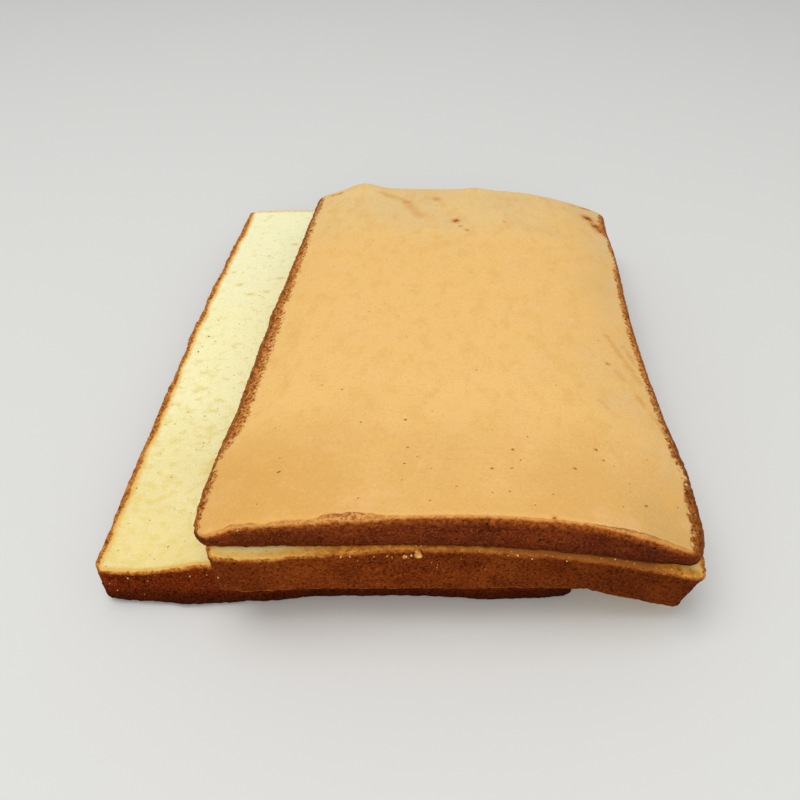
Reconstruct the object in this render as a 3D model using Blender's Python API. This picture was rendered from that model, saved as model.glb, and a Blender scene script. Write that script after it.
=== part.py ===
"""Castella sponge cake, split level into three layers, laid back as a stack and slid apart.

Metres, +Z up, +X to the right and +Y towards the back. The origin is the middle of the stack's
footprint, on the surface that it lies on. The base layer lies flat on that surface. The middle
and top layers were slid to the right and forwards, so their right ends have nothing under them
and sag. The tin's walls sloped and the cake shrank as it cooled, so each layer is a little smaller
than the one below it.
"""

import math

import bmesh
import bpy
from mathutils import Vector, noise

# Width and length of each layer
BASE_WIDTH, BASE_LENGTH = 0.263, 0.397
MIDDLE_WIDTH, MIDDLE_LENGTH = 0.253, 0.378
TOP_WIDTH, TOP_LENGTH = 0.248, 0.370

# Thickness of each layer along its front, and what the upper two lose by their backs
BASE_THICK = 0.0315
MIDDLE_THICK, MIDDLE_THINNER = 0.0300, 0.0044
TOP_THICK, TOP_THINNER = 0.0233, 0.0054

# Middle of each layer seen from above, and the top layer's turn in degrees
BASE_PLACE = Vector((-0.0319, 0.0075))
MIDDLE_PLACE = Vector((0.0366, -0.0169))
TOP_PLACE = Vector((0.0334, -0.0162))
TOP_TURN = -0.65

# The layers rest on each other all over, a hair apart
LAYER_GAP = 0.0003

# The domed skin falls towards each side: how far, and from which share of the way out
SKIN_FALLS = {
    "left": (0.0098, 0.62),
    "right": (0.0062, 0.25),
    "front": (0.0020, 0.70),
    "back": (0.0020, 0.70),
}

# Right ends with nothing under them: how far each face hangs at its end, from which share of the
# width, and how steeply it starts. The middle layer's end face leans out, as that end bends most
CUT_FACE_SAG, CUT_FACE_SAG_FROM, CUT_FACE_SAG_POWER = 0.0183, 0.50, 2.0
UNDERSIDE_SAG, UNDERSIDE_SAG_FROM, UNDERSIDE_SAG_POWER = 0.0225, 0.758, 0.85
MIDDLE_END_LEAN = 0.0090
LEAN_FROM = 0.60

# The right front corner hangs lowest: its place, how much lower the cut face and the skin are
# there than along the rest of the right end, and how far each of the two reaches
DROOP_PLACE = Vector((0.164, -0.205))
CUT_FACE_DROOP, CUT_FACE_DROOP_REACH = 0.0042, 0.045
SKIN_DROOP_PLACE = Vector((0.154, -0.200))
SKIN_DROOP, SKIN_DROOP_REACH = 0.0035, 0.026

# Edges: a knife leaves them crisp, the tin's floor and the skin leave them round
CUT_EDGE = 0.0015
TIN_EDGE = 0.0060
SKIN_EDGE = 0.0045
CORNER_RADIUS = 0.007

# Where the base layer shows beside the others, its front edge is pressed in, then swells
BASE_EDGE_HUMPS = ((0.024, -0.0065, 0.030), (0.072, 0.0030, 0.030))
CLEAR_OF_MIDDLE, CLEAR_FADE = 0.010, 0.012

# Blisters under the skin at the back edge: place along it, rise and reach
BLISTERS = ((-0.0810, 0.0050, 0.0150), (0.0130, 0.0015, 0.0100))

# Places where a side stands out or in: side, place along it, push at the underside and at the
# top face, and reach
BASE_SWELLS = (
    ("front", -0.076, 0.0058, -0.0005, 0.050),
    ("front", 0.096, 0.0034, 0.0, 0.040),
    ("left", 0.040, 0.0, 0.0020, 0.090),
    ("left", -0.165, 0.0, -0.0020, 0.060),
    ("back", -0.090, 0.0025, 0.0025, 0.080),
)
MIDDLE_SWELLS = (
    ("front", -0.108, 0.0018, 0.0040, 0.025),
    ("front", -0.019, 0.0, -0.0030, 0.035),
    ("right", 0.130, -0.0030, -0.0030, 0.070),
    ("right", 0.020, -0.0055, -0.0055, 0.075),
    ("right", -0.180, 0.0050, 0.0038, 0.030),
    ("left", -0.175, 0.0060, 0.0005, 0.040),
)
TOP_SWELLS = (
    ("left", -0.030, 0.0040, 0.0030, 0.110),
    ("left", -0.165, 0.0060, 0.0050, 0.050),
    ("left", -0.185, 0.0060, 0.0008, 0.025),
    ("right", 0.155, -0.0020, -0.0030, 0.030),
    ("right", 0.010, -0.0020, -0.0030, 0.070),
    ("right", -0.150, 0.0080, 0.0080, 0.060),
    ("right", -0.185, 0.0070, 0.0060, 0.030),
    ("front", -0.105, 0.0020, 0.0045, 0.040),
    ("front", 0.060, 0.0012, -0.0008, 0.050),
    ("front", 0.120, -0.0055, 0.0, 0.014),
)
# A swell fades inwards with this power, and by this share, with this power, towards both ends
INWARD_POWER = 3
END_FADE, END_FADE_POWER = 0.7, 8

# Crags of the crust: how far they push the sides of each layer, how many there are to a metre,
# how many from its underside to its top, how steeply they fade inwards, and each layer's pattern
BASE_CRAG, MIDDLE_CRAG, TOP_CRAG = 0.0010, 0.0009, 0.0005
CRAGS_PER_METRE, CRAGS_UPWARDS = 45.0, 1.3
CRAG_RIM_POWER = 24
BASE_SEED, MIDDLE_SEED, TOP_SEED = 1.0, 5.0, 9.0

# Grid of each layer: pieces across, along and through, and how much it is drawn to the rims
ACROSS, ALONG, THROUGH = 26, 40, 5
CROWDING = 0.72

# Edges sharper than this many degrees are kept sharp, and a face looks up or down rather than
# sideways where its normal rises or falls by this share
SHARP_DEGREES = 40.0
LEVEL_SHARE = 0.75


def material(name, colour, roughness):
    """A matte baked surface of one colour."""
    made = bpy.data.materials.new(name)
    made.use_nodes = True
    shader = made.node_tree.nodes["Principled BSDF"]
    shader.inputs["Base Color"].default_value = (*colour, 1.0)
    shader.inputs["Roughness"].default_value = roughness
    shader.inputs["Metallic"].default_value = 0.0
    made.diffuse_color = (*colour, 1.0)
    return made


def past(value, start, power=2.0):
    """0 up to start, then rising to 1 where value is 1."""
    return max(0.0, (value - start) / (1.0 - start)) ** power


def hump(distance, reach):
    """1 in the middle, falling smoothly to almost nothing beyond its reach."""
    return math.exp(-((distance / reach) ** 2))


def crowd(t):
    """Moves the grid lines of -1 to 1 towards both ends, where the rims are rounded."""
    return (1.0 - CROWDING) * t + CROWDING * math.sin(0.5 * math.pi * t)


def grid_box():
    """A box from -1 to 1 with an even grid of quads on all its sides."""
    bm = bmesh.new()
    bmesh.ops.create_cube(bm, size=2.0)
    for axis, pieces in enumerate((ACROSS, ALONG, THROUGH)):
        spans = []
        for edge in bm.edges:
            first, second = edge.verts
            if abs(first.co[axis] - second.co[axis]) > 1.0:
                spans.append(edge)
        bmesh.ops.subdivide_edges(bm, edges=spans, cuts=pieces - 1, use_grid_fill=True)
    return bm


def round_rims(point, half, thick, top_radius, under_radius):
    """Rounds the rims above and below. Returns the place and the height as a share of thick."""
    height = (point.z + 1.0) * 0.5 * thick
    inset = min(half.x - abs(point.x), half.y - abs(point.y))
    for radius, face, way in ((top_radius, thick, 1.0), (under_radius, 0.0, -1.0)):
        into = radius - inset
        beyond = radius - way * (face - height)
        if into > 0.0 and beyond > 0.0:
            pull = max(into, beyond) / math.hypot(into, beyond)
            inset = radius - into * pull
            height = face - way * (radius - beyond * pull)
    x = math.copysign(min(abs(point.x), half.x - inset), point.x)
    y = math.copysign(min(abs(point.y), half.y - inset), point.y)
    return Vector((x, y)), height / thick


def round_corner(place, half):
    """Rounds the four upright corners."""
    core_x = max(CORNER_RADIUS - half.x, min(half.x - CORNER_RADIUS, place.x))
    core_y = max(CORNER_RADIUS - half.y, min(half.y - CORNER_RADIUS, place.y))
    core = Vector((core_x, core_y))
    out = place - core
    if out.length < 1e-9:
        return place
    return core + out * (max(abs(out.x), abs(out.y)) / out.length)


def swell(place, share, half, swells):
    """Pushes the sides out or in at their swells, least at the layer's middle."""
    pushed = place.copy()
    for side, along, push_under, push_top, reach in swells:
        lengthwise = side in ("left", "right")
        out, beside = (0, 1) if lengthwise else (1, 0)
        way = 1.0 if side in ("right", "back") else -1.0
        near_side = max(0.0, way * place[out] / half[out]) ** INWARD_POWER
        near_end = 1.0 - END_FADE * (place[beside] / half[beside]) ** END_FADE_POWER
        push = push_under + (push_top - push_under) * share
        pushed[out] += way * push * near_side * near_end * hump(place[beside] - along, reach)
    return pushed


def crag(place, share, half, depth, seed):
    """Uneven crust: pushes the outermost points out or in, the same way on every run."""
    near_rim = max(abs(place.x) / half.x, abs(place.y) / half.y) ** CRAG_RIM_POWER
    up = share * CRAGS_UPWARDS + seed
    where = Vector((place.x * CRAGS_PER_METRE, place.y * CRAGS_PER_METRE, up))
    push = depth * noise.noise(where) * near_rim
    return place + Vector((push * place.x / half.x, push * place.y / half.y))


def share_along(row, middle, size):
    """0 at the layer's left or front end and 1 at its other end."""
    return (row - middle) / size + 0.5


def ground(x, y):
    """The level surface that the cake lies on."""
    return 0.0


def base_top(x, y):
    """The base layer's cut face, uneven only beside the middle layer."""
    corner = Vector((BASE_PLACE.x - BASE_WIDTH / 2, BASE_PLACE.y - BASE_LENGTH / 2))
    clear = MIDDLE_PLACE.x - MIDDLE_WIDTH / 2 - CLEAR_OF_MIDDLE - x
    beside = max(0.0, min(1.0, clear / CLEAR_FADE))
    uneven = 0.0
    for along, rise, reach in BASE_EDGE_HUMPS:
        uneven += rise * hump(math.hypot(x - corner.x - along, y - corner.y), reach)
    return BASE_THICK + uneven * beside


def middle_underside(x, y):
    """Level on the base layer, then hanging past its edge."""
    across = share_along(x, MIDDLE_PLACE.x, MIDDLE_WIDTH)
    hang = UNDERSIDE_SAG * past(across, UNDERSIDE_SAG_FROM, UNDERSIDE_SAG_POWER)
    return BASE_THICK + LAYER_GAP - hang


def middle_top(x, y):
    """The middle layer's cut face."""
    across = share_along(x, MIDDLE_PLACE.x, MIDDLE_WIDTH)
    back = share_along(y, MIDDLE_PLACE.y, MIDDLE_LENGTH)
    hang = CUT_FACE_SAG * past(across, CUT_FACE_SAG_FROM, CUT_FACE_SAG_POWER)
    hang += CUT_FACE_DROOP * hump((Vector((x, y)) - DROOP_PLACE).length, CUT_FACE_DROOP_REACH)
    return BASE_THICK + LAYER_GAP + MIDDLE_THICK - MIDDLE_THINNER * back - hang


def top_underside(x, y):
    """The top layer lies on the middle one and bends with it."""
    return middle_top(x, y) + LAYER_GAP


def top_skin(x, y):
    """The domed, browned skin."""
    across = share_along(x, TOP_PLACE.x, TOP_WIDTH)
    back = share_along(y, TOP_PLACE.y, TOP_LENGTH)
    outwards = {
        "left": 1.0 - 2.0 * across,
        "right": 2.0 * across - 1.0,
        "front": 1.0 - 2.0 * back,
        "back": 2.0 * back - 1.0,
    }
    thick = TOP_THICK - TOP_THINNER * back
    for side, (fall, start) in SKIN_FALLS.items():
        thick -= fall * past(outwards[side], start)
    for along, rise, reach in BLISTERS:
        away = math.hypot(x - TOP_PLACE.x - along, (back - 1.0) * TOP_LENGTH)
        thick += rise * hump(away, reach)
    thick -= SKIN_DROOP * hump((Vector((x, y)) - SKIN_DROOP_PLACE).length, SKIN_DROOP_REACH)
    return top_underside(x, y) + thick


def make_layer(name, size, place, faces, rims, swells, crags, lean=0.0, turn=0.0):
    """One layer: a gridded box with rounded rims, placed and laid between its two faces."""
    width, length, thick = size
    underside, upper = faces
    half = Vector((width / 2, length / 2))
    cosine, sine = math.cos(math.radians(turn)), math.sin(math.radians(turn))
    bm = grid_box()
    for vertex in bm.verts:
        point = Vector((crowd(vertex.co.x) * half.x, crowd(vertex.co.y) * half.y, vertex.co.z))
        at, share = round_rims(point, half, thick, *rims)
        at = round_corner(at, half)
        at = swell(at, share, half, swells)
        at = crag(at, share, half, *crags)
        at.x -= lean * past(at.x / half.x * 0.5 + 0.5, LEAN_FROM) * (1.0 - share)
        x = place.x + at.x * cosine - at.y * sine
        y = place.y + at.x * sine + at.y * cosine
        low, high = underside(x, y), upper(x, y)
        vertex.co = (x, y, low + (high - low) * share)
    mesh = bpy.data.meshes.new(name)
    bm.to_mesh(mesh)
    bm.free()
    mesh.shade_smooth()
    mesh.set_sharp_from_angle(angle=math.radians(SHARP_DEGREES))
    return bpy.data.objects.new(name, mesh)


def paint(layer, upper, side, under):
    """One material each for the faces that look up, sideways and down."""
    for finish in (upper, side, under):
        layer.data.materials.append(finish)
    for face in layer.data.polygons:
        if face.normal.z > LEVEL_SHARE:
            face.material_index = 0
        elif face.normal.z > -LEVEL_SHARE:
            face.material_index = 1
        else:
            face.material_index = 2


def base_layer(crumb, crust):
    """The lowest layer: cut above, and browned by the tin on its sides and underneath."""
    size = (BASE_WIDTH, BASE_LENGTH, BASE_THICK)
    faces, rims = (ground, base_top), (CUT_EDGE, TIN_EDGE)
    crags = (BASE_CRAG, BASE_SEED)
    layer = make_layer("base_layer", size, BASE_PLACE, faces, rims, BASE_SWELLS, crags)
    paint(layer, crumb, crust, crust)
    return layer


def middle_layer(crumb, crust):
    """The middle layer: cut above and below, and browned round its sides."""
    size = (MIDDLE_WIDTH, MIDDLE_LENGTH, MIDDLE_THICK)
    faces, rims = (middle_underside, middle_top), (CUT_EDGE, CUT_EDGE)
    crags = (MIDDLE_CRAG, MIDDLE_SEED)
    layer = make_layer(
        "middle_layer", size, MIDDLE_PLACE, faces, rims, MIDDLE_SWELLS, crags, lean=MIDDLE_END_LEAN
    )
    paint(layer, crumb, crust, crumb)
    return layer


def top_layer(skin, crust, crumb):
    """The top layer: a domed skin above, browned sides and a cut face below."""
    size = (TOP_WIDTH, TOP_LENGTH, TOP_THICK)
    faces, rims = (top_underside, top_skin), (SKIN_EDGE, CUT_EDGE)
    crags = (TOP_CRAG, TOP_SEED)
    layer = make_layer("top_layer", size, TOP_PLACE, faces, rims, TOP_SWELLS, crags, turn=TOP_TURN)
    paint(layer, skin, crust, crumb)
    return layer


def main():
    for old in list(bpy.data.objects):
        bpy.data.objects.remove(old)
    cake = bpy.data.collections.new("castella_cake")
    bpy.context.scene.collection.children.link(cake)
    crumb = material("pale yellow crumb", (0.88, 0.78, 0.42), 0.9)
    crust = material("dark baked side crust", (0.22, 0.075, 0.018), 0.85)
    skin = material("caramel top skin", (0.78, 0.50, 0.20), 0.6)
    cake.objects.link(base_layer(crumb, crust))
    cake.objects.link(middle_layer(crumb, crust))
    cake.objects.link(top_layer(skin, crust, crumb))


main()
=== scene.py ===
"""Castella sponge cake: the finished look of its three slid layers, built in place of their solids."""

import math
import random

import bmesh
import bpy
from mathutils import Matrix, Vector, bvhtree, kdtree, noise


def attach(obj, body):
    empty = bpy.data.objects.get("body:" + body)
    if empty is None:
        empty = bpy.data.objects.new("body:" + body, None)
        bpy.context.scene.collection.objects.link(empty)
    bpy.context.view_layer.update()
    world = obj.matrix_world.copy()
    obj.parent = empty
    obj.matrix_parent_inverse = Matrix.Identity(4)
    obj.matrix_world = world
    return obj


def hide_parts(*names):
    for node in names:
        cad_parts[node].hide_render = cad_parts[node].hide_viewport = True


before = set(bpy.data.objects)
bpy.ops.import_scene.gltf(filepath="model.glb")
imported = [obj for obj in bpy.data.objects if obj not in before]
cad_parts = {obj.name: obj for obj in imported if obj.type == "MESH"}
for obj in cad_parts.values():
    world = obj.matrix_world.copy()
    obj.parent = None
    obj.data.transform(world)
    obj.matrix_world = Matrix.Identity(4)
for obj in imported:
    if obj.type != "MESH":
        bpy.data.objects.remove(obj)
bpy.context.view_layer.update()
scene = bpy.context.scene


# Base layer. The lowest third of the cake: sponge that was cut level above with a long knife and
# baked brown by the tin on its sides and underneath. It lies flat, and the others were slid off it,
# so its pale crumb shows in a strip on the left and behind.

BASE_WIDTH, BASE_LENGTH, BASE_THICK = 0.263, 0.397, 0.0315
BASE_PLACE = Vector((-0.0319, 0.0075))
CUT_EDGE, TIN_EDGE, CORNER_RADIUS = 0.0015, 0.0060, 0.007
# How far round a corner the front or back and the side next to it share their looks
CORNER_SHARED = 0.004
# The cut face sinks and rises by its front left corner: place along the front, rise, reach. It stays
# level this close to the middle layer
BASE_EDGE_HUMPS = ((0.024, -0.0065, 0.030), (0.072, 0.0030, 0.030))
CLEAR_OF_MIDDLE, CLEAR_FADE = 0.010, 0.012
# Where a side stands out: side, place along it, how far below, how far above, reach
BASE_SWELLS = (
    ("front", -0.076, 0.0058, -0.0005, 0.050),
    ("front", 0.096, 0.0034, 0.0, 0.040),
    ("left", 0.040, 0.0, 0.0020, 0.090),
    ("left", -0.165, 0.0, -0.0020, 0.060),
    ("back", -0.090, 0.0025, 0.0025, 0.080),
)
INWARD_POWER = 3
END_FADE, END_FADE_POWER = 0.7, 8
LEAN_FROM = 0.60
LAYER_GAP = 0.0003
BASE_CRAG, BASE_SEED = 0.0010, 1.0
CRAGS_PER_METRE, CRAGS_UPWARDS = 45.0, 1.3
CRAG_RIM_POWER = 24

# Where the middle layer lies, which hides the rest of the base layer's cut face
MIDDLE_WIDTH, MIDDLE_LENGTH = 0.253, 0.378
MIDDLE_PLACE = Vector((0.0366, -0.0169))

# Grid of a layer before its shown faces are cut three times finer
ACROSS, ALONG, THROUGH, FINER = 52, 80, 6, 3
CROWDING = 0.45
# The rims and the holes get finer faces still: how far in, and how high up the box from -1 to 1
RIM_BAND, RIM_BAND_FROM, HOLE_BAND = 0.006, 0.4, 0.0016
# Beyond this height of the box a point is on the upper face, and beyond its opposite underneath
ON_FACE = 0.999

# Crumbs of the crust: how far they stand out, how many there are to a metre, and how much rougher
# the left and right sides are
FLAKE, FLAKES_PER_METRE = 0.0006, 260.0
GRAIN, GRAINS_PER_METRE = 0.00040, 620.0
FLANK_ROUGHER = 0.2

# How far the crust of the left and right sides reaches onto a cut face
CRUST_BAND = 0.0032

# Unevenness that the knife left on the cut face: height, how many waves to a metre
KNIFE_WAVES = ((0.00030, 70.0), (0.00018, 260.0))
# The crust stands up at the rim of the cut face: how high, how far in, how wide, waves to a metre
RAISED_RIM, RAISED_RIM_INSET, RAISED_RIM_WIDTH, RIM_WAVES = 0.0006, 0.0010, 0.0013, 190.0

# Holes in the cut face that show from a step away: place, radius
BASE_HOLES = (
    (-0.1296, 0.1275, 0.0011),
    (-0.1516, 0.0136, 0.0009),
    (-0.1531, 0.0018, 0.0007),
    (-0.1545, -0.0044, 0.0009),
    (-0.1456, 0.0075, 0.0006),
    (-0.1225, -0.0314, 0.0006),
)
# How deep a hole is for its radius
HOLE_DEPTH = 1.1
# Soft ochre dents: place, radius
BASE_DENTS = (
    (-0.1447, 0.0835, 0.0030),
    (-0.1208, 0.0733, 0.0026),
    (-0.1339, 0.0690, 0.0022),
    (-0.1135, 0.0924, 0.0030),
    (-0.1538, 0.1016, 0.0020),
    (-0.1113, 0.1471, 0.0028),
)
DENT_DEPTH = 0.0007

# What each point of a layer knows for its finish: how far it lies from the rim (inwards above, and
# down the side as less than 0), whether its side is the left or right one, hole and mark, how
# torn or toasted it is there, where the crust ends and where the lip is
FACTS = ("rim", "side", "hole", "mark", "tear", "band", "lip")


def past(value, start, power=2.0):
    """0 up to start, then rising to 1 where value is 1."""
    return max(0.0, (value - start) / (1.0 - start)) ** power


def smooth(value, low, high):
    """0 below low, 1 above high, and a soft step between."""
    share = max(0.0, min(1.0, (value - low) / (high - low)))
    return share * share * (3.0 - 2.0 * share)


def hump(distance, reach):
    """1 in the middle, falling smoothly to almost nothing beyond its reach."""
    return math.exp(-((distance / reach) ** 2))


def crowd(t):
    """Moves the grid lines of -1 to 1 towards both ends, where the rims are rounded."""
    return (1.0 - CROWDING) * t + CROWDING * math.sin(0.5 * math.pi * t)


def refine(bm, wanted, cuts):
    """Cuts the edges of the faces whose middle is wanted into cuts + 1 pieces."""
    edges = set()
    for face in bm.faces:
        if wanted(face.calc_center_median()):
            edges.update(face.edges)
    bmesh.ops.subdivide_edges(bm, edges=list(edges), cuts=cuts, use_grid_fill=True)


def grid_box(half, holes):
    """A box from -1 to 1, gridded finely above and round its sides, finer by its rims and holes."""
    bm = bmesh.new()
    bmesh.ops.create_cube(bm, size=2.0)
    for axis, pieces in enumerate((ACROSS, ALONG, THROUGH)):
        spans = []
        for edge in bm.edges:
            first, second = edge.verts
            if abs(first.co[axis] - second.co[axis]) > 1.0:
                spans.append(edge)
        bmesh.ops.subdivide_edges(bm, edges=spans, cuts=pieces - 1, use_grid_fill=True)
    refine(bm, lambda middle: middle.z > -ON_FACE, FINER - 1)

    def by_rim(middle):
        inset = min(half.x * (1.0 - abs(crowd(middle.x))), half.y * (1.0 - abs(crowd(middle.y))))
        return middle.z > RIM_BAND_FROM and inset < RIM_BAND

    def by_hole(middle):
        if middle.z < ON_FACE:
            return False
        _, index, away = holes.find((crowd(middle.x) * half.x, crowd(middle.y) * half.y, 0.0))
        return away < HOLE_BAND

    refine(bm, by_rim, 1)
    refine(bm, by_hole, 2)
    return bm


def round_rims(point, half, thick, top_radius, under_radius):
    """Rounds the rims above and below. Returns the place and the height as a share of thick."""
    height = (point.z + 1.0) * 0.5 * thick
    inset = min(half.x - abs(point.x), half.y - abs(point.y))
    for radius, face, way in ((top_radius, thick, 1.0), (under_radius, 0.0, -1.0)):
        into = radius - inset
        beyond = radius - way * (face - height)
        if into > 0.0 and beyond > 0.0:
            pull = max(into, beyond) / math.hypot(into, beyond)
            inset = radius - into * pull
            height = face - way * (radius - beyond * pull)
    x = math.copysign(min(abs(point.x), half.x - inset), point.x)
    y = math.copysign(min(abs(point.y), half.y - inset), point.y)
    return Vector((x, y)), height / thick


def corner_core(place, half):
    """The nearest place that is a corner radius inside the outline."""
    core_x = max(CORNER_RADIUS - half.x, min(half.x - CORNER_RADIUS, place.x))
    core_y = max(CORNER_RADIUS - half.y, min(half.y - CORNER_RADIUS, place.y))
    return Vector((core_x, core_y))


def round_corner(place, half):
    """Rounds the four upright corners."""
    core = corner_core(place, half)
    out = place - core
    if out.length < 1e-9:
        return place
    return core + out * (max(abs(out.x), abs(out.y)) / out.length)


def swell(place, share, half, swells):
    """Pushes the sides out or in at their swells, least at the layer's middle."""
    pushed = place.copy()
    for side, where, push_under, push_top, reach in swells:
        lengthwise = side in ("left", "right")
        out, beside = (0, 1) if lengthwise else (1, 0)
        way = 1.0 if side in ("right", "back") else -1.0
        near_side = max(0.0, way * place[out] / half[out]) ** INWARD_POWER
        near_end = 1.0 - END_FADE * (place[beside] / half[beside]) ** END_FADE_POWER
        push = push_under + (push_top - push_under) * share
        pushed[out] += way * push * near_side * near_end * hump(place[beside] - where, reach)
    return pushed


def crag(place, share, half, depth, seed):
    """Uneven crust: pushes the outermost points out or in, the same way on every run."""
    near_rim = max(abs(place.x) / half.x, abs(place.y) / half.y) ** CRAG_RIM_POWER
    up = share * CRAGS_UPWARDS + seed
    where = Vector((place.x * CRAGS_PER_METRE, place.y * CRAGS_PER_METRE, up))
    push = depth * noise.noise(where) * near_rim
    return place + Vector((push * place.x / half.x, push * place.y / half.y))


def flake(place, share, half, thick, seed, roughness):
    """Finer crust: small flakes and grains that stand out from the sides or are missing."""
    out = place - corner_core(place, half)
    if out.length < 1e-6:
        return place
    near_rim = min(1.0, out.length / CORNER_RADIUS) ** 2
    where = Vector((place.x, place.y, share * thick + seed))
    push = FLAKE * noise.noise(where * FLAKES_PER_METRE) + GRAIN * noise.noise(where * GRAINS_PER_METRE)
    return place + out.normalized() * (push * near_rim * roughness)


def beyond_outline(x, y, place, width, length):
    """How far a place lies outside a layer's outline, in metres, or less than 0 inside it."""
    return max(abs(x - place.x) - width / 2, abs(y - place.y) - length / 2)


def hole_tree(holes):
    """The places of a layer's holes, for finding the nearest."""
    tree = kdtree.KDTree(len(holes))
    for index, (x, y, _) in enumerate(holes):
        tree.insert((x, y, 0.0), index)
    tree.balance()
    return tree


def make_layer(name, size, place, faces, rims, swells, crags, look, holes, lean=0.0, turn=0.0):
    """One layer between its two faces. look adds what the photo shows: holes, dents and marks."""
    width, length, thick = size
    underside, upper = faces
    half = Vector((width / 2, length / 2))
    cosine, sine = math.cos(math.radians(turn)), math.sin(math.radians(turn))
    flat_holes = []
    for x, y, radius in holes:
        away = Vector((x, y)) - place
        flat_holes.append((away.x * cosine + away.y * sine, away.y * cosine - away.x * sine, radius))
    tree = hole_tree(flat_holes)
    bm = grid_box(half, tree)
    facts = [bm.verts.layers.float.new(fact) for fact in FACTS]
    for vertex in bm.verts:
        cube = vertex.co.copy()
        point = Vector((crowd(cube.x) * half.x, crowd(cube.y) * half.y, cube.z))
        at, share = round_rims(point, half, thick, *rims)
        inset_x, inset_y = half.x - abs(point.x), half.y - abs(point.y)
        if cube.z > ON_FACE:
            rim = min(inset_x, inset_y)
        elif cube.z < -ON_FACE:
            rim = -thick - min(inset_x, inset_y)
        else:
            rim = -thick * (1.0 - cube.z) * 0.5
        at = round_corner(at, half)
        at = swell(at, share, half, swells)
        side = smooth(inset_y - inset_x, -CORNER_SHARED, CORNER_SHARED)
        at = crag(at, share, half, *crags)
        at = flake(at, share, half, thick, crags[1], 1.0 + FLANK_ROUGHER * side)
        at.x -= lean * past(at.x / half.x * 0.5 + 0.5, LEAN_FROM) * (1.0 - share)
        x = place.x + at.x * cosine - at.y * sine
        y = place.y + at.x * sine + at.y * cosine
        _, index, away = tree.find((at.x, at.y, 0.0))
        radius = flat_holes[index][2]
        hole = max(0.0, 1.0 - (away / radius) ** 2) if cube.z > ON_FACE else 0.0
        lift, *seen = look(x, y, rim, side) if cube.z > 0.0 else (0.0, 0.0, 0.0, 0.0, 0.0)
        low, high = underside(x, y), upper(x, y)
        lift -= HOLE_DEPTH * radius * hole
        vertex.co = (x, y, low + (high - low) * share + lift)
        for fact, value in zip(facts, (rim, side, hole, *seen)):
            vertex[fact] = value
    bmesh.ops.recalc_face_normals(bm, faces=bm.faces[:])
    mesh = bpy.data.meshes.new(name)
    bm.to_mesh(mesh)
    bm.free()
    mesh.shade_smooth()
    layer = bpy.data.objects.new(name, mesh)
    scene.collection.objects.link(layer)
    return layer


def ground(x, y):
    """The level surface that the cake lies on."""
    return 0.0


def base_top(x, y):
    """The base layer's cut face, uneven only beside the middle layer."""
    corner = Vector((BASE_PLACE.x - BASE_WIDTH / 2, BASE_PLACE.y - BASE_LENGTH / 2))
    clear = MIDDLE_PLACE.x - MIDDLE_WIDTH / 2 - CLEAR_OF_MIDDLE - x
    beside = max(0.0, min(1.0, clear / CLEAR_FADE))
    uneven = 0.0
    for beside_corner, rise, reach in BASE_EDGE_HUMPS:
        uneven += rise * hump(math.hypot(x - corner.x - beside_corner, y - corner.y), reach)
    return BASE_THICK + uneven * beside


def base_look(x, y, rim, side):
    """The knife's unevenness, the dents, and the crust that stands up a little at the rim."""
    shown = smooth(beyond_outline(x, y, MIDDLE_PLACE, MIDDLE_WIDTH, MIDDLE_LENGTH), 0.0005, 0.004)
    where = Vector((x, y, 0.0))
    lift = 0.0
    for height, waves in KNIFE_WAVES:
        lift += height * noise.noise(where * waves)
    raised = hump(rim - RAISED_RIM_INSET, RAISED_RIM_WIDTH)
    lift += RAISED_RIM * raised * (0.6 + noise.noise(where * RIM_WAVES))
    mark = 0.0
    for dent_x, dent_y, reach in BASE_DENTS:
        mark = max(mark, hump(math.hypot((x - dent_x) * 0.75, (y - dent_y) * 1.4), reach * 0.8))
    lift -= DENT_DEPTH * mark
    uneven_band = 1.0 + 0.5 * noise.noise(Vector((x * 60.0, y * 60.0, 5.0)))
    return lift * shown, mark * shown, 0.0, CRUST_BAND * side * uneven_band, 0.0


def tint(red, green, blue):
    """A colour as it shows on a screen, 0 to 255, as the linear values that a shader takes."""
    linear = []
    for level in (red, green, blue):
        share = level / 255.0
        linear.append(share / 12.92 if share <= 0.04045 else ((share + 0.055) / 1.055) ** 2.4)
    return (*linear, 1.0)


# Cut crumb: cream behind, in the middle and in front, then its blotches and grain, a warm tint of painted
# bounce light, its pores, the painted shade in its holes, and its dents
CREAM_BEHIND, CREAM, CREAM_IN_FRONT = tint(250, 247, 201), tint(252, 245, 190), tint(236, 214, 142)
BLOTCH, CRUMB_GRAIN, WARM_BOUNCE_TINT = tint(233, 208, 114), tint(224, 194, 106), tint(236, 202, 118)
PORE, PAINTED_HOLE_SHADE, DENT_OCHRE = tint(160, 122, 52), tint(132, 96, 40), tint(222, 188, 88)
# Toasted crumb, from barely to well
BARELY_TOASTED, LIGHT_TOAST = tint(230, 182, 92), tint(212, 138, 44)
DARK_TOAST, WELL_TOASTED = tint(158, 82, 18), tint(138, 68, 18)
# Golden edge between the crumb and the crust
LIGHT_GOLD, DARK_GOLD = tint(220, 146, 66), tint(176, 96, 34)
GOLD_LUMP, TOASTED_GOLD = tint(112, 48, 16), tint(134, 64, 18)
# Side crust: its streaks, lighter grain and pits; darker low down, partly browned by the tin's floor and
# partly painted shade; and painted shade towards the right
CRUST_STREAK, CRUST_GRAIN, CRUST_PIT = tint(60, 18, 6), tint(166, 88, 26), tint(52, 17, 5)
CRUST_LOW_TIN_AND_SHADE, SHADED_CRUST_RIGHT = tint(40, 12, 4), tint(56, 20, 6)


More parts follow.
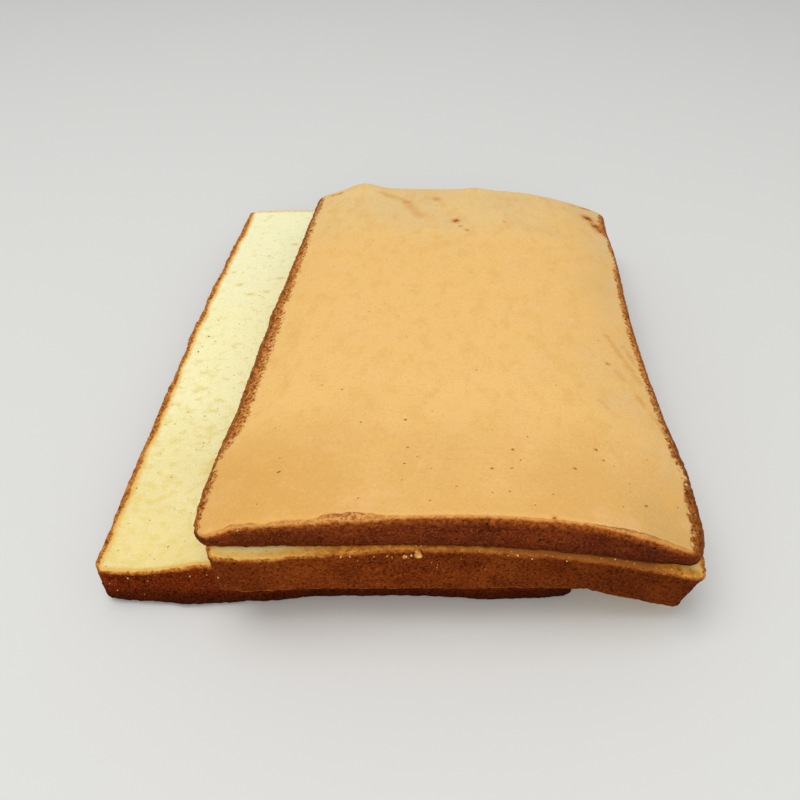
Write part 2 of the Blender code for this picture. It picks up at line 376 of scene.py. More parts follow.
class Wire:
    """One output of a shader node. Sums on it add Math nodes to its finish."""

    def __init__(self, finish, socket):
        self.finish, self.socket = finish, socket

    def math(self, operation, first, second):
        return self.finish.node("ShaderNodeMath", {"operation": operation}, {0: first, 1: second})

    def __add__(self, other):
        return self.math("ADD", self, other)

    def __sub__(self, other):
        return self.math("SUBTRACT", self, other)

    def __rsub__(self, other):
        return self.math("SUBTRACT", other, self)

    def __mul__(self, other):
        return self.math("MULTIPLY", self, other)

    __radd__, __rmul__ = __add__, __mul__

    def most(self, other):
        return self.math("MAXIMUM", self, other)

    def least(self, other):
        return self.math("MINIMUM", self, other)

    def step(self, low, high):
        """0 at low and 1 at high, softly, whichever of the two is the larger."""
        settings = {"interpolation_type": "SMOOTHSTEP"}
        return self.finish.node("ShaderNodeMapRange", settings, {0: self, 1: low, 2: high})


class Finish:
    """A material and the nodes that make it."""

    def __init__(self, name):
        self.material = bpy.data.materials.new(name)
        self.material.use_nodes = True
        self.tree = self.material.node_tree
        self.shader = self.tree.nodes["Principled BSDF"]
        self.place = self.node("ShaderNodeTexCoord", {}, {}, "Object")

    def node(self, kind, settings, sockets, output=0):
        made = self.tree.nodes.new(kind)
        for name, value in settings.items():
            setattr(made, name, value)
        for key, value in sockets.items():
            self.join(made.inputs[key], value)
        return Wire(self, made.outputs[output])

    def join(self, socket, value):
        if isinstance(value, Wire):
            self.tree.links.new(value.socket, socket)
        else:
            socket.default_value = value

    def attribute(self, name):
        return self.node("ShaderNodeAttribute", {"attribute_name": name}, {}, "Fac")

    def part_of_place(self, axis):
        return self.node("ShaderNodeSeparateXYZ", {}, {0: self.place}, axis)

    def stretched(self, x, y, z):
        return self.node("ShaderNodeMapping", {}, {"Vector": self.place, "Scale": (x, y, z)})

    def clouds(self, size, detail=2.0, roughness=0.5, place=None):
        """Noise from 0 to 1 whose patches are about size across, in metres."""
        sockets = {"Vector": place or self.place, "Scale": 1.0 / size, "Detail": detail}
        return self.node("ShaderNodeTexNoise", {}, sockets | {"Roughness": roughness})

    def away_from(self, place):
        """Distance from a place, in metres."""
        settings = {"operation": "DISTANCE"}
        return self.node("ShaderNodeVectorMath", settings, {0: self.place, 1: place}, "Value")

    def cells(self, size, output="Distance", place=None):
        sockets = {"Vector": place or self.place, "Scale": 1.0 / size}
        return self.node("ShaderNodeTexVoronoi", {}, sockets, output)

    def blend(self, share, under, over):
        settings = {"data_type": "RGBA", "clamp_factor": True}
        return self.node("ShaderNodeMix", settings, {0: share, 6: under, 7: over}, 2)

    def bump(self, height, depth):
        """Relief whose height, from 0 to 1, stands for depth in metres."""
        return self.node("ShaderNodeBump", {}, {"Distance": depth, "Height": height})

    def set(self, **values):
        for name, value in values.items():
            self.join(self.shader.inputs[name.replace("_", " ")], value)


def pores(finish, size, radius, share, place=None):
    """Round pores in a share of the cells, 0 to 1 towards each pore's middle."""
    away = finish.cells(size, place=place)
    chance = finish.cells(size, "Color", place=place)
    picked = finish.node("ShaderNodeSeparateColor", {}, {0: chance}, "Red").step(share + 0.01, share)
    return away.step(radius / size, radius / size * 0.3) * picked


def crumb_colour(finish, edge, toasted, bounce_warmth):
    """Cut sponge: cream, with soft yellow blotches that run across, small pores, toasted rims, and a warm
    tint of painted bounce light where asked.
    """
    y = finish.part_of_place("Y") + (finish.clouds(0.050, 2.0) - 0.5) * 0.12
    colour = finish.blend(y.step(0.14, 0.02), CREAM_BEHIND, CREAM)
    colour = finish.blend(y.step(-0.06, -0.19) * 0.85, colour, CREAM_IN_FRONT)
    blotch = finish.clouds(0.0060, 2.0, 0.55, finish.stretched(0.9, 1.1, 1.0))
    blotch = blotch + y.step(0.08, -0.16) * 0.09
    colour = finish.blend(blotch.step(0.55, 0.78) * 0.55, colour, BLOTCH)
    fine = finish.clouds(0.0013, 3.0, 0.7)
    colour = finish.blend(fine.step(0.48, 0.72) * 0.34, colour, CRUMB_GRAIN)
    dots = pores(finish, 0.0060, 0.0007, 0.16).most(pores(finish, 0.0030, 0.00045, 0.20) * 0.7)
    colour = finish.blend(dots * 0.55, colour, PORE)
    # Painted bounce light: a warm tint over the crumb.
    colour = finish.blend(bounce_warmth, colour, WARM_BOUNCE_TINT)
    patches = finish.clouds(0.0032, 3.0, 0.65).step(0.36, 0.64)
    browned = finish.blend(patches, LIGHT_TOAST, DARK_TOAST)
    toast = finish.blend(toasted.step(0.0, 0.5), BARELY_TOASTED, browned)
    toast = finish.blend(toasted.step(0.5, 1.0), toast, WELL_TOASTED)
    zone = edge.step(toasted * 0.0200 + 0.0045, toasted * 0.0080 + 0.0006)
    return finish.blend(zone * 0.95, colour, toast), fine, dots


def crust_colour(finish, light, dark):
    """Baked side crust: dark reddish brown, with a grain of lighter crumbs and small dark pits."""
    broad = finish.clouds(0.020, 3.0)
    streaks = finish.clouds(0.0050, 3.0, 0.6, finish.stretched(0.30, 0.30, 1.8))
    grain = finish.clouds(0.0012, 3.0, 0.75)
    pits = finish.clouds(0.0017, 3.0, 0.7).step(0.46, 0.32)
    colour = finish.blend(broad.step(0.30, 0.70), dark, light)
    colour = finish.blend(streaks.step(0.45, 0.72) * 0.4, colour, CRUST_STREAK)
    colour = finish.blend(grain.step(0.48, 0.68) * 0.6, colour, CRUST_GRAIN)
    return finish.blend(pits * 0.55, colour, CRUST_PIT), grain, pits


def cut_layer_finish(name, thick, light, dark, crumb_under):
    """Pale crumb on the cut faces, golden along their edges, brown crust round the sides. The crust is
    between light and dark, with painted shade towards the right; on a layer baked in the tin underneath it
    darkens low down, partly browned by the tin's floor and partly painted shade. A layer that is cut
    underneath too gets its crumb tinted warm with painted bounce light."""
    finish = Finish(name)
    side, band = finish.attribute("side"), finish.attribute("band")
    ragged = (finish.clouds(0.0028, 3.0, 0.7) - 0.5) * (0.0030 + 0.0010 * side)
    edge = finish.attribute("rim") + ragged
    # Painted bounce light: the middle layer's crumb is tinted warm, as if lit by the golden surfaces round
    # its shaded ledge.
    bounce_warmth = 0.35 if crumb_under else 0.0
    crumb, fine, dots = crumb_colour(finish, edge - band, finish.attribute("tear"), bounce_warmth)
    crust, grain, pits = crust_colour(finish, light, dark)
    # Darker low down on the base layer: partly browned by the tin's floor, partly painted shade under the
    # middle layer's overhang.
    if not crumb_under:
        crust = finish.blend(edge.step(-0.011, -0.026) * 0.75, crust, CRUST_LOW_TIN_AND_SHADE)
    # Painted shade: the crust darkens towards the right.
    crust = finish.blend(finish.part_of_place("X").step(0.0, 0.15) * 0.35, crust, SHADED_CRUST_RIGHT)
    gold = finish.blend(finish.clouds(0.0020, 3.0).step(0.35, 0.65), LIGHT_GOLD, DARK_GOLD)
    lumps = finish.clouds(0.0030, 3.0, 0.65).step(0.56, 0.64) * side
    gold = finish.blend(lumps * 0.8, gold, GOLD_LUMP)
    gold = finish.blend(finish.attribute("tear") * 0.8, gold, TOASTED_GOLD)
    colour = finish.blend((edge + side * 0.0020).step(-0.0030, 0.0), crust, gold)
    colour = finish.blend((edge - band).step(-0.0003, 0.0012), colour, crumb)
    if crumb_under:
        below = edge + thick
        colour = finish.blend(below.step(0.0012, 0.0) * 0.6, colour, gold)
        colour = finish.blend(below.step(-0.0006, -0.0016), colour, crumb)
    # Painted shade in the holes of the cut face.
    colour = finish.blend(finish.attribute("hole").step(0.1, 0.7), colour, PAINTED_HOLE_SHADE)
    colour = finish.blend(finish.attribute("mark") * 0.8, colour, DENT_OCHRE)
    top = (edge - band).step(-0.0004, 0.0010)
    height = top * (fine * 0.5 - dots) + (1.0 - top) * (grain - pits)
    finish.set(Base_Color=colour, Roughness=0.9, Normal=finish.bump(height, 0.0008))
    finish.set(Specular_IOR_Level=0.02)
    return finish.material


def dress(layer, material, node):
    """Gives a layer its finish, and puts it in place of its solid."""
    layer.data.materials.append(material)
    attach(layer, "root")
    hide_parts(node)


base = make_layer(
    "base_sponge", (BASE_WIDTH, BASE_LENGTH, BASE_THICK), BASE_PLACE, (ground, base_top),
    (CUT_EDGE, TIN_EDGE), BASE_SWELLS, (BASE_CRAG, BASE_SEED), base_look, BASE_HOLES,
)
BASE_CRUST = (tint(128, 46, 13), tint(100, 31, 8))
base_finish = cut_layer_finish("base crumb and crust", BASE_THICK, *BASE_CRUST, False)
dress(base, base_finish, "base_layer")


# Middle layer. Sponge cut level on both faces, crust only round its sides. It was slid to the right
# and forwards, so its right end has nothing under it and sags, and its front stands out as a ledge.

MIDDLE_THICK, MIDDLE_THINNER = 0.0300, 0.0044
CUT_FACE_SAG, CUT_FACE_SAG_FROM, CUT_FACE_SAG_POWER = 0.0183, 0.50, 2.0
UNDERSIDE_SAG, UNDERSIDE_SAG_FROM, UNDERSIDE_SAG_POWER = 0.0225, 0.758, 0.85
MIDDLE_END_LEAN = 0.0090
DROOP_PLACE = Vector((0.164, -0.205))
CUT_FACE_DROOP, CUT_FACE_DROOP_REACH = 0.0042, 0.045
MIDDLE_SWELLS = (
    ("front", -0.108, 0.0018, 0.0040, 0.025),
    ("front", -0.019, 0.0, -0.0030, 0.035),
    ("right", 0.130, -0.0030, -0.0030, 0.070),
    ("right", 0.020, -0.0055, -0.0055, 0.075),
    ("right", -0.180, 0.0050, 0.0038, 0.030),
    ("left", -0.175, 0.0060, 0.0005, 0.040),
)
MIDDLE_CRAG, MIDDLE_SEED = 0.0009, 5.0
# Its cut face is torn at the rim: how deep, how many waves to a metre, how far in
TORN_RIM, TORN_RIM_WAVES, TORN_RIM_REACH = 0.0006, 240.0, 0.006
MIDDLE_HOLES = ((0.0093, -0.2035, 0.0006), (-0.0200, -0.2035, 0.0006))
# How toasted the ledge is: place along it, share
LEDGE_TOASTS = (
    (-0.065, 0.10),
    (-0.040, 0.28),
    (-0.020, 0.48),
    (0.000, 0.60),
    (0.040, 0.72),
    (0.075, 0.92),
    (0.132, 0.95),
    (0.152, 0.35),
)

# Where the top layer lies on it
TOP_WIDTH, TOP_LENGTH = 0.248, 0.370
TOP_PLACE = Vector((0.0334, -0.0162))


def along(points, value):
    """Reads a list of (place, value, ...) between its places, in straight runs."""
    if value <= points[0][0]:
        return points[0][1:]
    for near, far in zip(points, points[1:]):
        if value <= far[0]:
            share = (value - near[0]) / (far[0] - near[0])
            return tuple(a + (b - a) * share for a, b in zip(near[1:], far[1:]))
    return points[-1][1:]


def share_along(row, middle, size):
    """0 at the layer's left or front end and 1 at its other end."""
    return (row - middle) / size + 0.5


def middle_underside(x, y):
    """Level on the base layer, then hanging past its edge."""
    across = share_along(x, MIDDLE_PLACE.x, MIDDLE_WIDTH)
    hang = UNDERSIDE_SAG * past(across, UNDERSIDE_SAG_FROM, UNDERSIDE_SAG_POWER)
    return BASE_THICK + LAYER_GAP - hang


def middle_top(x, y):
    """The middle layer's cut face."""
    across = share_along(x, MIDDLE_PLACE.x, MIDDLE_WIDTH)
    back = share_along(y, MIDDLE_PLACE.y, MIDDLE_LENGTH)
    hang = CUT_FACE_SAG * past(across, CUT_FACE_SAG_FROM, CUT_FACE_SAG_POWER)
    hang += CUT_FACE_DROOP * hump((Vector((x, y)) - DROOP_PLACE).length, CUT_FACE_DROOP_REACH)
    return BASE_THICK + LAYER_GAP + MIDDLE_THICK - MIDDLE_THINNER * back - hang


def middle_look(x, y, rim, side):
    """Where it shows beyond the top layer, its cut face is torn a little at the rim."""
    shown = smooth(beyond_outline(x, y, TOP_PLACE, TOP_WIDTH, TOP_LENGTH), 0.0005, 0.003)
    where = Vector((x, y, 3.0))
    lift = TORN_RIM * noise.noise(where * TORN_RIM_WAVES) * smooth(rim, TORN_RIM_REACH, 0.0)
    toasted = along(LEDGE_TOASTS, x)[0] * (1.0 - side)
    return lift * shown, 0.0, toasted, CRUST_BAND * side * 0.6, 0.0


middle = make_layer(
    "middle_sponge", (MIDDLE_WIDTH, MIDDLE_LENGTH, MIDDLE_THICK), MIDDLE_PLACE,
    (middle_underside, middle_top), (CUT_EDGE, CUT_EDGE), MIDDLE_SWELLS, (MIDDLE_CRAG, MIDDLE_SEED),
    middle_look, MIDDLE_HOLES, lean=MIDDLE_END_LEAN,
)
MIDDLE_CRUST = (tint(136, 62, 18), tint(110, 42, 12))
middle_finish = cut_layer_finish("middle crumb and crust", MIDDLE_THICK, *MIDDLE_CRUST, True)
dress(middle, middle_finish, "middle_layer")


# Top layer. The cake's own top: a smooth skin browned to caramel, domed, with a crisp lip along its
# front, dark pits where it tore from the tin at both sides, and two blisters at the back edge.

TOP_THICK, TOP_THINNER, TOP_TURN = 0.0233, 0.0054, -0.65
SKIN_EDGE = 0.0045
SKIN_DROOP_PLACE = Vector((0.154, -0.200))
SKIN_DROOP, SKIN_DROOP_REACH = 0.0035, 0.026
# How far the skin falls towards each side, and from where: 0 is the middle, 1 is the rim
SKIN_FALLS = {
    "left": (0.0098, 0.62),
    "right": (0.0062, 0.25),
    "front": (0.0020, 0.70),
    "back": (0.0020, 0.70),
}
# Blisters at the back edge: place beside the middle, rise, reach
BLISTERS = ((-0.0810, 0.0050, 0.0150), (0.0130, 0.0015, 0.0100))
TOP_SWELLS = (
    ("left", -0.030, 0.0040, 0.0030, 0.110),
    ("left", -0.165, 0.0060, 0.0050, 0.050),
    ("left", -0.185, 0.0060, 0.0008, 0.025),
    ("right", 0.155, -0.0020, -0.0030, 0.030),
    ("right", 0.010, -0.0020, -0.0030, 0.070),
    ("right", -0.150, 0.0080, 0.0080, 0.060),
    ("right", -0.185, 0.0070, 0.0060, 0.030),
    ("front", -0.105, 0.0020, 0.0045, 0.040),
    ("front", 0.060, 0.0012, -0.0008, 0.050),
    ("front", 0.120, -0.0055, 0.0, 0.014),
)
# A small lump of crust on the left side that the solid leaves out
LEFT_LUMP = ("left", 0.006, 0.0020, 0.0020, 0.009)
TOP_CRAG, TOP_SEED = 0.0005, 9.0

# Pinholes in the skin: place, radius
SKIN_HOLES = (
    (0.0058, -0.1315, 0.0010),
    (0.0084, -0.1531, 0.0007),
    (0.0074, -0.1650, 0.0007),
    (0.0637, -0.1545, 0.0010),
    (0.0524, -0.1684, 0.0009),
    (0.0627, -0.1679, 0.0007),
    (0.0674, -0.1620, 0.0006),
    (0.0721, -0.1441, 0.0006),
    (0.0452, -0.0875, 0.0006),
    (-0.0323, -0.1055, 0.0007),
    (-0.0183, -0.1339, 0.0007),
    (-0.0139, -0.1882, 0.0006),
    (0.0137, -0.1601, 0.0005),
    (0.0215, -0.1896, 0.0006),
    (0.0610, -0.1834, 0.0006),
    (0.0826, -0.1836, 0.0006),
    (0.1094, -0.1478, 0.0010),
    (0.0960, -0.1644, 0.0010),
    (0.1126, -0.1549, 0.0007),
    (0.1251, -0.1643, 0.0006),
    (0.1319, -0.1801, 0.0006),
    (-0.0562, -0.1705, 0.0006),
    (-0.0819, -0.0939, 0.0006),
    (0.0679, 0.1057, 0.0006),
    (0.1210, 0.1278, 0.0006),
)
# Scorched spots of the skin: place, reach, strength
SCORCHES = (
    (0.0306, 0.1041, 0.0046, 0.80),
    (0.0342, 0.0948, 0.0024, 0.40),
    (0.0393, 0.0883, 0.0026, 0.45),
    (0.0134, 0.1441, 0.0060, 0.25),
    (0.0694, 0.1042, 0.0016, 0.40),
    (0.1280, -0.0665, 0.0030, 0.35),
    (0.1414, 0.1419, 0.0072, 0.95),
    (0.1471, 0.1300, 0.0076, 0.95),
    (0.1505, 0.1234, 0.0064, 0.90),
    (0.0821, -0.1986, 0.0016, 1.00),
)
# Dark spots on the front: place, reach
FRONT_SPOTS = (
    (0.0493, -0.2009, 0.0792, 0.0013),
    (0.0755, -0.2022, 0.0683, 0.0012),
    (0.0796, -0.2023, 0.0660, 0.0010),
    (0.1255, -0.2021, 0.0639, 0.0013),
    (0.1334, -0.2020, 0.0614, 0.0012),
)
# Creases and stains that run along the skin: both ends, width, strength
SKIN_LINES = (
    ((0.1320, -0.0354), (0.1477, -0.0782), 0.0034, 0.34),
    ((0.1420, -0.0422), (0.1495, -0.0652), 0.0030, 0.34),
    ((0.1424, -0.0930), (0.1535, -0.1196), 0.0034, 0.38),
    ((0.1323, -0.0727), (0.1345, -0.0790), 0.0030, 0.30),
    ((0.1175, -0.1046), (0.1200, -0.1110), 0.0028, 0.26),
    ((-0.0326, 0.1563), (-0.0107, 0.1387), 0.0062, 0.42),
    ((-0.0107, 0.1387), (0.0025, 0.1119), 0.0068, 0.36),
    ((0.1274, 0.1586), (0.1455, 0.1633), 0.0024, 0.80),
    ((-0.0780, 0.1612), (-0.0673, 0.1610), 0.0024, 0.80),
)

# Ripples of the skin: height, how many to a metre
RIPPLE, RIPPLES_PER_METRE = 0.00035, 40.0
# Pits of the torn rows, and the lip with its crinkles and its crease
PIT_DEPTH, LIP_HEIGHT, CRINKLE_HEIGHT = 0.0005, 0.0004, 0.0005
CREASE_DEPTH, CREASE_WIDTH, LIP_WANDER = 0.0005, 0.00060, 0.0010
# How much a ragged line of the finish strays, and how much a long one bends
STRAY, BEND = 0.0026, 0.0120

# Skin in the middle, behind and in front; at the right, partly its own greyer tone and partly painted
# shade; at its left front corner, and at its right front corner, which is painted shade
SKIN, SKIN_BEHIND, SKIN_IN_FRONT = tint(239, 193, 118), tint(232, 198, 134), tint(221, 171, 98)
SKIN_RIGHT_TONE_AND_SHADE, LEFT_CORNER, SHADED_RIGHT_CORNER = tint(220, 180, 118), tint(219, 165, 84), tint(206, 160, 88)
# Its dusty patches, rosy clouds, mottle, streaks and grain
DUSTY, ROSY, MOTTLE = tint(219, 190, 138), tint(243, 192, 132), tint(226, 174, 96)
STREAK, DARK_GRAIN, PALE_GRAIN = tint(222, 166, 92), tint(210, 156, 86), tint(246, 207, 140)
# Its pinholes, stains, scorched spots, folds and pits
PINHOLE, SKIN_HOLE, STAIN = tint(160, 100, 44), tint(146, 88, 38), tint(202, 134, 54)
SCORCH_EDGE, SCORCH, FOLD = tint(198, 118, 42), tint(140, 68, 18), tint(116, 48, 10)
# Lip, then the rough places that tore from the tin, with painted shade at the right front corner
LIP_PEACH, LIP_CRINKLE = tint(218, 152, 78), tint(146, 70, 20)
TORN_DARK, TORN_PALE, SHADED_TORN_CORNER = tint(180, 100, 34), tint(210, 142, 70), tint(110, 48, 14)
PIT_DARK, PIT_PALE = tint(104, 36, 6), tint(146, 68, 18)
# Sides: crust, with painted shade towards its bottom, its strip under the skin, and the left and right
# sides where they tore, with painted shade at the right front corner
SIDE_LIGHT, SIDE_DARK, SHADED_SIDE_LOW = tint(120, 47, 14), tint(98, 34, 9), tint(62, 20, 5)
STRIP_DARK, STRIP_PALE, UNDER_SKIN = tint(112, 48, 11), tint(164, 86, 28), tint(196, 114, 48)
FLANK_DARK, FLANK_PALE, SHADED_FLANK_CORNER = tint(142, 76, 20), tint(192, 116, 44), tint(98, 42, 12)
FRONT_SPOT, CRUMB_BELOW = tint(26, 8, 4), tint(244, 232, 170)


def top_underside(x, y):
    """The top layer lies on the middle one and bends with it."""
    return middle_top(x, y) + LAYER_GAP


def top_skin(x, y):
    """The domed, browned skin."""
    across = share_along(x, TOP_PLACE.x, TOP_WIDTH)
    back = share_along(y, TOP_PLACE.y, TOP_LENGTH)
    outwards = {
        "left": 1.0 - 2.0 * across,
        "right": 2.0 * across - 1.0,
        "front": 1.0 - 2.0 * back,
        "back": 2.0 * back - 1.0,
    }
    thick = TOP_THICK - TOP_THINNER * back
    for side, (fall, start) in SKIN_FALLS.items():
        thick -= fall * past(outwards[side], start)
    for beside_middle, rise, reach in BLISTERS:
        away = math.hypot(x - TOP_PLACE.x - beside_middle, (back - 1.0) * TOP_LENGTH)
        thick += rise * hump(away, reach)
    thick -= SKIN_DROOP * hump((Vector((x, y)) - SKIN_DROOP_PLACE).length, SKIN_DROOP_REACH)
    return top_underside(x, y) + thick


# Where the skin tore from the tin along each side: place along it, strength, reach inwards
LEFT_TEARS = (
    (-0.200, 0.60, 0.0035),
    (-0.190, 1.00, 0.0055),
    (-0.165, 1.00, 0.0070),
    (-0.157, 0.25, 0.0050),
    (-0.146, 0.50, 0.0080),
    (-0.130, 1.00, 0.0125),
    (-0.030, 1.00, 0.0135),
    (0.030, 0.95, 0.0115),
    (0.085, 0.85, 0.0100),
    (0.100, 0.60, 0.0095),
    (0.165, 0.60, 0.0090),
)
RIGHT_TEARS = (
    (-0.200, 1.00, 0.0080),
    (-0.165, 1.00, 0.0085),
    (-0.152, 0.40, 0.0060),
    (-0.138, 1.00, 0.0085),
    (-0.126, 0.85, 0.0080),
    (-0.030, 0.90, 0.0085),
    (0.060, 0.90, 0.0080),
    (0.078, 0.40, 0.0055),
    (0.095, 0.90, 0.0065),
    (0.110, 0.60, 0.0060),
    (0.125, 1.00, 0.0080),
    (0.150, 1.00, 0.0090),
    (0.165, 0.50, 0.0060),
)
# The lip along the front: place along it, how far in its crease lies and where the crust begins
# (less than 0 is down the front), how deep its crease is, and how crinkled it is
FRONT_LIP = (
    (-0.088, -0.0035, -0.0070, 0.80, 0.10),
    (-0.082, -0.0010, -0.0040, 1.00, 0.12),
    (-0.074, 0.0020, -0.0015, 1.00, 0.15),
    (-0.064, 0.0015, -0.0015, 0.90, 0.15),
    (-0.058, 0.0000, -0.0020, 0.30, 0.20),
    (-0.049, 0.0015, -0.0022, 0.50, 0.50),
    (-0.038, 0.0003, -0.0025, 0.60, 0.70),
    (-0.030, 0.0030, -0.0018, 1.00, 1.00),
    (-0.024, 0.0036, -0.0010, 1.00, 1.00),
    (-0.017, 0.0040, -0.0025, 1.00, 1.00),
    (-0.009, 0.0036, -0.0020, 1.00, 1.00),
    (-0.001, 0.0020, -0.0010, 0.70, 0.40),
    (0.012, 0.0020, 0.0005, 0.10, 0.10),
    (0.045, 0.0022, 0.0010, 0.05, 0.05),
    (0.080, 0.0015, 0.0000, 0.10, 0.10),
    (0.096, 0.0015, 0.0000, 0.40, 0.20),
    (0.107, 0.0025, 0.0015, 1.00, 0.70),
    (0.126, 0.0040, 0.0005, 1.00, 0.50),
    (0.140, 0.0040, 0.0010, 0.80, 0.20),
    (0.155, 0.0040, 0.0030, 0.40, 0.10),
)


def top_look(x, y, rim, side):
    """Ripples of the skin, the torn row along both sides, and the lip in front."""
    where = Vector((x, y, 7.0))
    lift = RIPPLE * noise.noise(where * RIPPLES_PER_METRE)
    strength, reach = along(LEFT_TEARS if x < TOP_PLACE.x else RIGHT_TEARS, y)
    tear = strength * side * smooth(rim, reach, 0.4 * reach) * smooth(rim, -0.0005, 0.0015)
    pit = smooth(noise.noise(Vector((x * 340.0, y * 280.0, 4.0))), 0.10, 0.45) * tear
    lift -= PIT_DEPTH * pit
    mark = 0.10 * pit
    band = 0.30 * reach * side
    lip = 0.0
    if y < TOP_PLACE.y and side < 1.0:
        front = 1.0 - side
        crease, border, creased, crinkled = along(FRONT_LIP, x)
        wander = LIP_WANDER * noise.noise(Vector((x * 260.0, 2.0, 0.0))) * (0.3 + crinkled)
        crease += wander
        border += wander
        band += border * front
        above_crust = smooth(rim, border - 0.0003, border + 0.0006)
        lip = front * above_crust * smooth(rim, crease + 0.0005, crease - 0.0005)
        broken = smooth(noise.noise(Vector((x * 300.0, 6.0, 0.0))), -0.50, 0.00)
        furrow = hump(rim - crease, CREASE_WIDTH) * creased * broken * front
        crinkle = noise.noise(Vector((x * 420.0, y * 300.0, 9.0))) * crinkled
        lift += (LIP_HEIGHT + CRINKLE_HEIGHT * crinkle) * lip - CREASE_DEPTH * furrow
        mark = max(mark, 0.45 * furrow)
        tear = max(tear, 0.7 * crinkled * lip)
    return lift, mark, tear, band, lip


def away_from_line(finish, start, end):
    """Distance from a straight line that lies on the skin, in metres."""
    first = Vector((*start, top_skin(*start)))
    run = Vector((*end, top_skin(*end))) - first
    to = finish.node("ShaderNodeVectorMath", {"operation": "SUBTRACT"}, {0: finish.place, 1: first})
    per_run = run / run.length_squared
    settings = {"operation": "DOT_PRODUCT"}
    share = finish.node("ShaderNodeVectorMath", settings, {0: to, 1: per_run}, "Value")
    share = share.most(0.0).least(1.0)
    nearest = finish.node("ShaderNodeVectorMath", {"operation": "SCALE"}, {0: run, "Scale": share})
    return finish.node("ShaderNodeVectorMath", {"operation": "DISTANCE"}, {0: to, 1: nearest}, "Value")


def skin_colour(finish):
    """Caramel skin: warm in the middle, beige behind, richer in front, finely mottled; greyer towards the
    right, partly its own tone and partly painted shade, and painted shade at the right front corner.
    """
    y = finish.part_of_place("Y") + (finish.clouds(0.080, 2.0) - 0.5) * 0.16
    x = finish.part_of_place("X") + (finish.clouds(0.060, 2.0) - 0.5) * 0.08
    colour = finish.blend(y.step(0.03, 0.17), SKIN, SKIN_BEHIND)
    colour = finish.blend(y.step(-0.10, -0.20) * 0.85, colour, SKIN_IN_FRONT)
    left_corner = finish.away_from((-0.085, -0.200, 0.080)).step(0.090, 0.020)
    colour = finish.blend(left_corner * 0.7, colour, LEFT_CORNER)
    # Towards the right: partly the skin's own greyer tone, partly painted shade.
    colour = finish.blend(x.step(0.10, 0.17) * 0.7, colour, SKIN_RIGHT_TONE_AND_SHADE)
    dusty = finish.clouds(0.045, 3.0, 0.6).step(0.44, 0.62) * (x.step(0.06, 0.15) + y.step(0.04, 0.14))
    colour = finish.blend(dusty * 0.45, colour, DUSTY)
    # Painted shade at the right front corner.
    shaded_right_corner = finish.away_from((0.155, -0.200, 0.070)).step(0.060, 0.010)
    colour = finish.blend(shaded_right_corner * 0.7, colour, SHADED_RIGHT_CORNER)
    rosy = finish.clouds(0.022, 3.0, 0.6).step(0.48, 0.75)
    colour = finish.blend(rosy * 0.4, colour, ROSY)
    mottle = finish.clouds(0.0090, 3.0, 0.6, finish.stretched(1.0, 0.6, 1.0))
    colour = finish.blend(mottle.step(0.46, 0.70) * 0.42, colour, MOTTLE)
    streaks = finish.clouds(0.0040, 3.0, 0.6, finish.stretched(0.12, 1.0, 1.0))
    front = finish.part_of_place("Y").step(-0.10, -0.17)
    colour = finish.blend(streaks.step(0.50, 0.75) * front * 0.30, colour, STREAK)
    fine = finish.clouds(0.0016, 3.0, 0.7)
    colour = finish.blend(fine.step(0.48, 0.70) * 0.34, colour, DARK_GRAIN)
    colour = finish.blend(fine.step(0.46, 0.34) * 0.16, colour, PALE_GRAIN)
    dots = pores(finish, 0.0065, 0.0006, 0.30)
    colour = finish.blend(dots * 0.5, colour, PINHOLE)
    return colour, fine, dots


def marked_skin(finish, skin, wobble):
    """The skin with its creases, stains and scorched spots."""
    bend = (finish.clouds(0.0090, 4.0, 0.7) - 0.5) * BEND
    for start, end, width, strength in SKIN_LINES:
        away = away_from_line(finish, start, end) + bend
        skin = finish.blend(away.step(width, 0.0) * strength, skin, STAIN)
    for x, y, reach, strength in SCORCHES:
        away = finish.away_from((x, y, top_skin(x, y))) + wobble * (reach * 550.0)
        skin = finish.blend(away.step(reach * 1.4, 0.0) * strength, skin, SCORCH_EDGE)
        skin = finish.blend(away.step(reach * 0.7, reach * 0.1) * strength, skin, SCORCH)
    return skin


def torn_skin(finish, skin, tear, side, corner):
    """Rough golden brown places in the rows where the skin tore from the tin, with painted shade towards
    the right front corner.
    """
    rough = (finish.clouds(0.0034, 3.0, 0.65) + tear * 0.30).step(0.54, 0.72)
    shade = finish.blend(finish.clouds(0.0012, 2.0).step(0.40, 0.60), TORN_DARK, TORN_PALE)
    # Painted shade towards the right front corner.
    shade = finish.blend(corner * 0.6, shade, SHADED_TORN_CORNER)
    return finish.blend(rough * (tear.step(0.0, 0.25) * side), skin, shade)


def top_wall(finish, edge, within, side, corner, mixed, wobble):
    """Sides of the top layer: crust, paler just under the skin, torn open at the left and right, with
    painted shade towards the right, towards the bottom and at the right front corner.
    """
    crust, grain, pits = crust_colour(finish, SIDE_LIGHT, SIDE_DARK)
    # Painted shade: the crust darkens towards the right, and towards its bottom above the gap to the
    # middle layer.
    crust = finish.blend(finish.part_of_place("X").step(0.04, 0.15) * 0.3, crust, SHADED_CRUST_RIGHT)
    crust = finish.blend(edge.step(-0.012, -0.023) * 0.4, crust, SHADED_SIDE_LOW)
    strip = finish.blend(mixed, STRIP_DARK, STRIP_PALE)
    wall = finish.blend(within.step(-0.0076, -0.0030), crust, strip)
    wall = finish.blend(within.step(-0.0024, -0.0004), wall, UNDER_SKIN)
    for x, y, z, reach in FRONT_SPOTS:
        away = finish.away_from((x, y, z)) + wobble * 0.5
        wall = finish.blend(away.step(reach, reach * 0.4) * 0.9, wall, FRONT_SPOT)
    flank = finish.blend(mixed, FLANK_DARK, FLANK_PALE)
    # Painted shade on the flank towards the right front corner.
    flank = finish.blend(corner * 0.6, flank, SHADED_FLANK_CORNER)
    return finish.blend(side * edge.step(-0.0120, -0.0040), wall, flank), grain, pits


